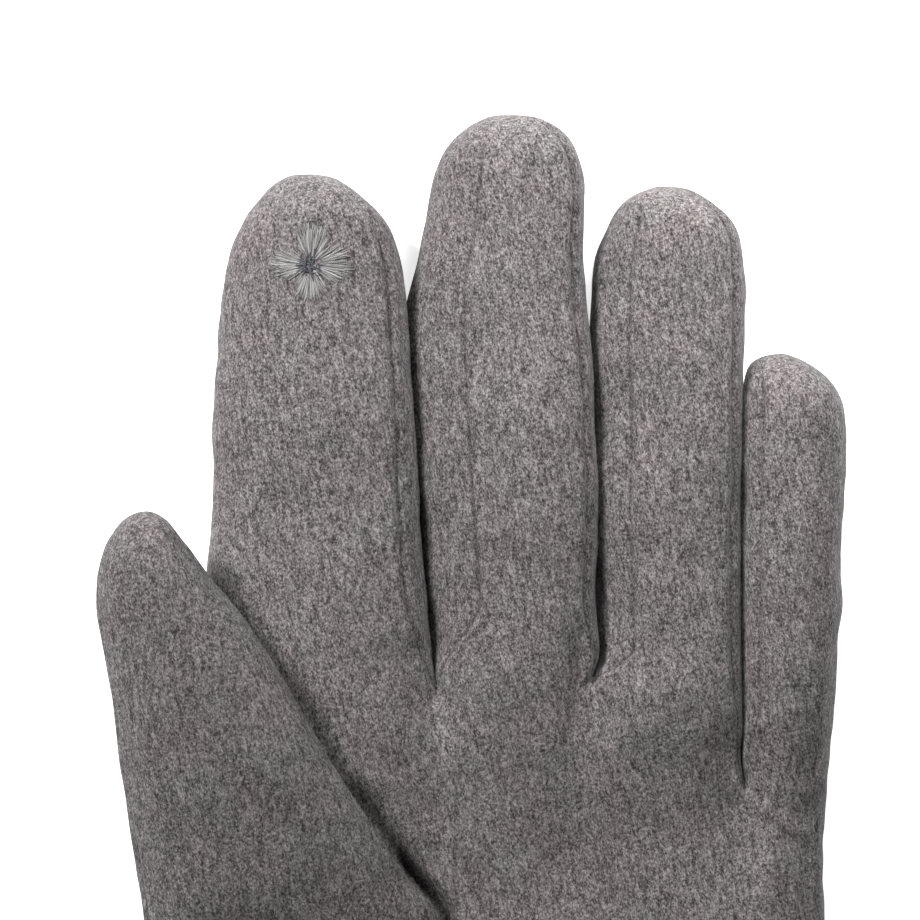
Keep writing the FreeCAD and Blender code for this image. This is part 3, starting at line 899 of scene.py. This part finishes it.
def brushed_knit(name, shade, fibre_scale=1.0):
    """Brushed heather knit: fine light and dark fibres along the glove over faint tint patches,
    with painted shade in the seam grooves.
    """
    n = Nodes(name)
    place = n.rest()
    layers = []
    for share, squeeze, (scale, *others) in FIBRES:
        nap = n.stretched(place, (1.0, squeeze, 1.0), (0.0, 0.0, FIBRE_LEAN))
        layers.append((n.noise(nap, scale * fibre_scale, *others), share))
    grain = n.math("POWER", n.spread(n.total(*layers), 0.39, 0.61), 1.5)
    dark, light = grey(shade * 0.22, 0.12), grey(shade * 3.1, 0.06)
    fibres = n.mix(grain, dark, light)
    patch = n.spread(n.noise(place, 0.13, 2.0, 0.5), 0.38, 0.62)
    tint = n.mix(patch, (1.035, 0.976, 0.990, 1.0), (0.995, 0.994, 0.990, 1.0))
    fibres = n.mix(1.0, fibres, tint, "MULTIPLY")
    cloud = n.spread(n.noise(place, 0.06, 2.0, 0.5), 0.3, 0.7, 0.94, 1.06)
    # painted shade: the knit is painted darker, down to 0.62 of its colour, in and beside the seam
    # grooves
    seam = n.spread(n.field("near_seam"), 0.45, 1.0, 1.0, 0.62)
    colour = n.mix(1.0, fibres, n.math("MULTIPLY", cloud, seam), "MULTIPLY")
    return n.finish(colour, grain, 0.10, 0.75, Roughness=0.95, Sheen_Weight=0.08,
                    Sheen_Roughness=0.55, Specular_IOR_Level=0.15)


def fleece(name, shade):
    """Short soft pile: rounded tufts, with painted shade in the gaps between them."""
    n = Nodes(name)
    place = n.rest()
    tufts = n.add("ShaderNodeTexVoronoi", {"feature": "SMOOTH_F1"}, Vector=place, Scale=0.9,
                  Smoothness=0.5).outputs["Distance"]
    fuzz = n.noise(place, 3.2, 4.0, 0.65)
    height = n.math("SUBTRACT", n.math("MULTIPLY", fuzz, 0.5), tufts)
    level = n.spread(height, -0.7, 0.25)
    # painted shade: the colour follows the pile's height, darker down in the gaps between tufts
    colour = n.mix(level, grey(shade * 0.45, 0.05), grey(shade * 1.5, 0.05))
    return n.finish(colour, height, 0.5, 0.8, Roughness=1.0, Sheen_Weight=0.4, Sheen_Roughness=0.5,
                    Specular_IOR_Level=0.1)


def thread(name, colour, shine):
    """Twisted thread: fine slanting strands."""
    n = Nodes(name)
    strands, fuzz = n.bands("DIAGONAL", 1.6, 2.0), n.noise(n.rest(), 4.0, 3.0, 0.6)
    level = n.total((strands, 0.5), (fuzz, 0.5))
    tone = n.total((level, 0.4), (n.field("tone"), 0.6))
    dark, light = (tuple(c * factor for c in colour) + (1.0,) for factor in (0.35, 1.9))
    colour = n.mix(n.spread(tone, 0.15, 0.85), dark, light)
    return n.finish(colour, level, 0.05, 0.6, Roughness=0.7, Sheen_Weight=shine,
                    Specular_IOR_Level=0.25)


def woven_tape(name, shade):
    """Woven elastic: ribs along its length crossed by fine picks."""
    n = Nodes(name)
    level = n.total((n.bands("Y", 0.32, 0.3), 0.6), (n.bands("X", 0.55, 0.6), 0.4))
    colour = n.mix(level, grey(shade * 0.5), grey(shade * 1.4))
    return n.finish(colour, level, 0.15, 0.8, Roughness=0.8, Specular_IOR_Level=0.25)


SHADE = 0.0785
KNIT_CLOTH = brushed_knit("brushed_knit", SHADE)
# painted shade: the gussets on the fingers' sides are the same knit, painted 6% darker
SHADED_GUSSET_CLOTH = brushed_knit("brushed_knit_gusset_painted_shade", SHADE * 0.94)
# painted shade: the thumb is the same knit, painted 13% darker
SHADED_THUMB_CLOTH = brushed_knit("brushed_knit_thumb_painted_shade", SHADE * 0.87)
HEM_CLOTH = brushed_knit("brushed_knit_hem", SHADE * 0.97, 0.9)
FLEECE = fleece("fleece", 0.16)
LIGHT_THREAD = thread("conductive_thread", (0.176, 0.171, 0.168), 0.1)
DARK_THREAD = thread("conductive_core", (0.050, 0.054, 0.062), 0.1)
SEAM_THREAD = thread("topstitch_thread", (0.20, 0.195, 0.19), 0.2)
ELASTIC = woven_tape("woven_elastic", 0.10)


# ---------------------------------------------------------------- the glove's pieces

def make_stretch(surface, stretch, body, bend, panels):
    """The knit panels and the lining of one stretch of the glove."""
    here = surface.stretches == stretch
    for panel, piece_name, node, cloth, slot in panels:
        mask = here & (surface.panels == panel)
        piece = wall("knit_" + piece_name, surface, mask, KNIT_LAYER, cloth)
        attach(piece, body, bend, node)
    lining = wall("fleece_" + stretch, surface, here, LINING_LAYER, FLEECE)
    attach(lining, body, bend, "lining_" + stretch)


def make_fingers(surface):
    for name, finger in FINGERS.items():
        parent = "hand"
        for segment, y in zip(SEGMENTS, finger["knuckles"]):
            body = name + "_" + segment
            panels = [(panel, f"{panel}_panel_{body}", f"{panel}_panel_{body}", KNIT_CLOTH,
                       "outer_knit") for panel in ("palm", "back")]
            node = None if segment == "tip" else "fourchette_" + body
            panels.append(("gusset", "fourchette_" + body, node, SHADED_GUSSET_CLOTH, "fourchette_knit"))
            low, high = ((0, y + side * BEND_HALF[name], KNUCKLE_HEIGHT) for side in (-1, 1))
            make_stretch(surface, body, parent, (body, low, high), panels)
            parent = body


def make_hand(surface):
    start, end = ((0, WRIST_LINE + side * WRIST_BEND_HALF, WRIST_AXIS) for side in (1, -1))
    for stretch, bend in (("hand", None), ("cuff", ("cuff", start, end))):
        nodes = [(panel, f"{panel}_panel_{stretch}") for panel in ("palm", "back")]
        panels = [(panel, node, node, KNIT_CLOTH, "outer_knit") for panel, node in nodes]
        make_stretch(surface, stretch, "hand", bend, panels)


def make_thumb(surface):
    parent = "hand"
    for segment, span in (("base", THUMB_ROOT_BEND), ("tip", THUMB_TIP_BEND)):
        body = "thumb_" + segment
        start, end = (tuple(thumb_point(v)) + (THUMB_AXIS,) for v in span)
        nodes = [(panel, f"thumb_{panel}_panel_{segment}") for panel in ("outer", "inner")]
        panels = [(panel, node, node, SHADED_THUMB_CLOTH, "outer_knit") for panel, node in nodes]
        make_stretch(surface, body, parent, (body, start, end), panels)
        parent = body


def lifted(hit, lift):
    """The point where a tree was met, lifted off it."""
    place, normal = hit[:2]
    return np.array(place) + np.array(normal) * lift


def make_hem(surface):
    """The turned edge: a band that doubles back inside round the mouth."""
    rings, _ = palm_rings()
    band = rings[rings[:, 0, 1] < HEM_LINE + HEM_OVERLAP]
    tree = surface.tree()
    outer = np.array([[lifted(tree.find_nearest(Vector(point)), HEM_LIFT) for point in ring]
                      for ring in band])
    across = np.roll(outer, -1, axis=1) - np.roll(outer, 1, axis=1)
    inward = np.zeros_like(outer)
    inward[..., 0], inward[..., 2] = across[..., 2], -across[..., 0]
    inner = outer + unit(inward) * HEM_THICKNESS
    middle, half = (outer[-1] + inner[-1]) / 2, (outer[-1] - inner[-1]) / 2
    rounded = []
    for angle in np.linspace(0.25, 0.75, 3) * math.pi:
        turn = middle + half * math.cos(angle)
        turn[:, 1] -= math.sin(angle) * HEM_ROUND
        rounded.append(turn)
    profile = list(outer) + rounded + list(inner[::-1])
    rings = np.array(profile + [profile[0]])
    tube = Surface()
    tube.add_tube(rings[::-1], ["hem"] * rings.shape[1], ["hem"] * (len(rings) - 1))
    tube.finish()
    stay_on_table(tube.points)
    piece = new_mesh("turned_hem", tube.points, tube.polygons(), HEM_CLOTH,
                     {"near_seam": np.zeros(len(tube.points))})
    attach(piece, "cuff", None, "cuff_hem")
    return tube


def threads(name, paths, radius, material):
    """Many short lengths of thread as one mesh, each with rounded ends."""
    sides = 6
    points, faces, tones = [], [], []
    source = np.random.default_rng(4)
    for path in paths:
        count = len(path)
        tones += [source.uniform()] * (count * sides)
        path = np.asarray(path, float)
        along = unit(np.gradient(path, axis=0))
        beside = unit(np.cross(along, (0.13, 0.21, 1.0)))
        up = np.cross(beside, along)
        start = len(points)
        size = radius * np.maximum(0.25, 1 - np.abs(np.linspace(-1, 1, count)) ** 6)
        for k in range(sides):
            angle = 2 * math.pi * k / sides
            points += list(path + (beside * math.cos(angle) + up * math.sin(angle)) * size[:, None])
        for k in range(sides):
            here, there = start + k * count, start + (k + 1) % sides * count
            faces += [[here + i, here + i + 1, there + i + 1, there + i] for i in range(count - 1)]
        faces.append([start + k * count for k in range(sides)])
        faces.append([start + k * count + count - 1 for k in reversed(range(sides))])
    return new_mesh(name, np.array(points), faces, material, {"tone": tones})


def on_surface(tree, x, y, from_above, lift):
    """A point on the fabric above or below a plan point, lifted off it."""
    start = Vector((x, y, ABOVE if from_above else BELOW))
    hit = tree.ray_cast(start, Vector((0, 0, -1.0 if from_above else 1.0)))
    return lifted(hit if hit[0] is not None else tree.find_nearest(start), lift)


def embroider(name, tree, centre, turn, from_above, body, node):
    """A four-petal star of satin stitches round a core of short dark ones."""
    source = np.random.default_rng(21)

    def stitch(start, end, lift, bow=0.0):
        """Surface points under a stitch between two points given from the star's centre."""
        start, end = np.array(start), np.array(end)
        aside = np.array((start[1] - end[1], end[0] - start[0]))
        path = []
        for t in np.linspace(0.0, 1.0, 8):
            x, y = start + (end - start) * t + aside * bow * math.sin(math.pi * t)
            px = centre[0] + x * math.cos(turn) - y * math.sin(turn)
            py = centre[1] + x * math.sin(turn) + y * math.cos(turn)
            rise = lift * math.sin(math.pi * (0.1 + 0.8 * t))
            path.append(on_surface(tree, px, py, from_above, rise))
        return path

    def heading_to(angle):
        return np.array((math.cos(angle), math.sin(angle)))

    petals, core = [], []
    for heading, reach, breadth in STAR_PETALS:
        for across in np.linspace(-1.0, 1.0, PETAL_STITCHES):
            way = heading_to(heading + across * breadth + source.normal(0, 0.05))
            last = reach * (1 - 0.34 * abs(across) ** 2.2) * source.uniform(0.74, 1.04)
            first = source.uniform(0.8, 2.4)
            petals.append(stitch(way * first, way * last, source.uniform(0.04, 0.2),
                                 source.normal(0, 0.03)))
    for _ in range(RAY_STITCHES):
        way = heading_to(source.choice((0.0, math.pi)) + source.normal(0, 0.5))
        core.append(stitch(way * source.uniform(0.6, 1.2), way * source.uniform(1.9, 3.8), 0.2))
    for _ in range(CORE_STITCHES):
        middle = source.normal(0, 1, 2) * (0.55, 1.1) + (0.0, -0.2)
        angle = math.atan2(middle[1], middle[0]) + source.normal(0, 0.7)
        half = heading_to(angle) * source.uniform(0.2, 0.5)
        core.append(stitch(middle - half, middle + half, source.uniform(0.2, 0.32)))
    star = threads(name + "_petals", petals, THREAD, LIGHT_THREAD)
    attach(star, body, None, node)
    knot = threads(name + "_knot", core, 1.25 * THREAD, DARK_THREAD)
    attach(knot, body, None, None)


def topstitch(name, tree, y, body):
    """A row of real stitches round the hem, above the table."""
    rings, _ = palm_rings()
    row = int(np.argmin(np.abs(rings[:, 0, 1] - y)))
    ring = np.vstack([rings[row], rings[row][:1]])
    paths = []
    for i in range(int(lengths_along(ring)[-1] / STITCH_PITCH)):
        spots = at_length(ring, i * STITCH_PITCH + np.linspace(0, STITCH_LENGTH, 6))
        path = [lifted(tree.find_nearest(Vector(spot)), 0.22 * math.sin(math.pi * k / 5) - 0.02)
                for k, spot in enumerate(spots)]
        if min(point[2] for point in path) > TABLE + 0.3:
            paths.append(path)
    attach(threads(name, paths, 0.2, SEAM_THREAD), body, None, None)


def make_elastic(surface):
    """The elastic tape between knit and lining on the palm side of the wrist."""
    tree = surface.tree()
    columns, offsets = np.linspace(*TAPE_SIDES, 90), np.linspace(-3.0, 3.0, 7)
    strip = []
    for dy in offsets:
        starts = [Vector((x, ELASTIC_LINE + dy, ABOVE)) for x in columns]
        places = [tree.ray_cast(start, Vector((0, 0, -1)))[0] for start in starts]
        strip.append([(place.x, place.y, place.z - KNIT - 0.04) for place in places])
    tape = Surface()
    tape.add_tube(np.array(strip), ["tape"] * (len(columns) - 1), ["tape"] * (len(offsets) - 1),
                  closed=False)
    tape.finish()
    up = np.tile((0.0, 0.0, 1.0), (len(tape.points), 1))
    tape.ready(np.zeros(len(tape.points)), up, tape.full_room())
    everything = np.ones(len(tape.faces), bool)
    piece = wall("wrist_elastic_tape", tape, everything, TAPE_LAYER, ELASTIC)
    attach(piece, "cuff", None, "wrist_elastic")


# ---------------------------------------------------------------- building

def buried(surface, tree, depth):
    """Faces that lie deeper than a depth inside another surface."""
    inside = np.zeros(len(surface.points), bool)
    for i, point in enumerate(surface.points.tolist()):
        place, normal, _, distance = tree.find_nearest(Vector(point), 25.0)
        if place is not None and distance > depth:
            inside[i] = (Vector(point) - place).dot(normal) < 0
    return inside[surface.faces].all(axis=1)


def below_crotch(surface):
    """Faces on the heel's side of the thumb's crotch."""
    return (along_thumb(surface.points[:, :2])[surface.faces] < THUMB_CROTCH).all(axis=1)


hand = hand_surface()
hand.relax(np.full(len(hand.points), EVEN_WEIGHT), 4)
fingertips = [finger["contour"][finger["tip"]] for finger in FINGERS.values()]
hand.relax_tips(fingertips, *TIP_EVENING)
for width, depth, *route in CREASES:
    crease(hand, route, width, depth)
swell(hand, 1.0)
gather_wrist(hand)
seam_fades = [finger["seam_fade"] for finger in FINGERS.values()]
hand_seam = press_seams(hand, fingertips, seam_fades, 0.10)
stay_on_table(hand.points)

thumb = thumb_surface()
thumb.relax(np.full(len(thumb.points), EVEN_WEIGHT), 3)
thumb.relax_tips([THUMB_LEFT[-1]], *TIP_EVENING)
swell(thumb, 0.55)
thumb_seam = press_seams(thumb, [THUMB_LEFT[-1]], [12.0], 0.05)
stay_on_table(thumb.points)

hand_tree, thumb_tree = hand.tree(), thumb.tree()
thumb_hidden = buried(thumb, hand_tree, THUMB_BURIED) & below_crotch(thumb)
hand_hidden = buried(hand, thumb_tree, HAND_BURIED) & below_crotch(hand)
for surface, near_seam, tree in ((hand, hand_seam, hand_tree), (thumb, thumb_seam, thumb_tree)):
    outward = surface.normals()
    surface.ready(near_seam, outward, inward_room(surface, tree, outward))
hand.keep(~hand_hidden)
thumb.keep(~thumb_hidden)

make_fingers(hand)
make_hand(hand)
make_thumb(thumb)
hem = make_hem(hand)
topstitch("hem_topstitch", hem.tree(), HEM_LINE - 2.0, "cuff")
make_elastic(hand)
embroider("index_star", hand_tree, PATCH_CENTRE, 0.0, True, "index_tip", "index_touch_patch")
embroider("thumb_star", thumb_tree, thumb_point(THUMB_PATCH_AT), THUMB_LEAN, False,
          "thumb_tip", "thumb_touch_patch")


# ---------------------------------------------------------------- floor, light, camera

def make_floor():
    """A plain pale floor, so bright that only the soft shadow beside the glove shows."""
    n = Nodes("pale_floor")
    for key, value in (("Base_Color", (0.9, 0.9, 0.9, 1.0)), ("Roughness", 0.9),
                       ("Emission_Color", (1.0, 1.0, 1.0, 1.0)), ("Emission_Strength", 0.70)):
        n.put(n.shader, key, value)
    mesh = bpy.data.meshes.new("floor")
    corners = [(x, y, 0) for x, y in ((-1, -1), (1, -1), (1, 1), (-1, 1))]
    mesh.from_pydata((np.array(corners) * FLOOR_HALF).tolist(), [], [(0, 1, 2, 3)])
    mesh.materials.append(n.material)
    add_to_scene("floor", mesh)


def area_light(name, place, target, size, power):
    data = bpy.data.lights.new(name, "AREA")
    data.shape, data.size, data.energy = "DISK", size, power
    lamp = add_to_scene(name, data)
    lamp.location = place
    lamp.rotation_euler = (Vector(target) - Vector(place)).to_track_quat("-Z", "Y").to_euler()
    lamp.visible_camera = False


def make_camera():
    """Straight above the fingers, through a long lens."""
    data = bpy.data.cameras.new("camera")
    data.lens, data.sensor_width = 150.0, 36.0
    distance = VIEW_WIDTH / 2 / (data.sensor_width / 2 / data.lens)
    camera = add_to_scene("camera", data)
    camera.location = (*VIEW_CENTRE, distance + VIEW_HEIGHT)
    bpy.context.scene.camera = camera


# In metres
FLOOR_HALF = 3.0
VIEW_CENTRE = (-0.00167, 0.0694)
VIEW_WIDTH, VIEW_HEIGHT = 0.1394, 0.009    # what the picture spans, and at what height
LIGHTS = (               # name, place, where it points, size, power
    ("key", (-0.33, 0.32, 0.31), (0.0, 0.05, 0.0), 0.16, 4.95),
    ("top", (0.08, 0.19, 0.10), (0.02, 0.07, 0.0), 0.12, 0.48),
    ("fill", (0.10, -0.10, 0.8), (0.0, 0.0, 0.0), 0.7, 0.1))

make_floor()
make_camera()
for light in LIGHTS:
    area_light(*light)
world = bpy.data.worlds.new("studio")
world.use_nodes = True
background = world.node_tree.nodes["Background"].inputs
background["Color"].default_value = (1.0, 1.0, 1.0, 1.0)
background["Strength"].default_value = 0.02
bpy.context.scene.world = world
bpy.context.scene.view_settings.view_transform = "Standard"
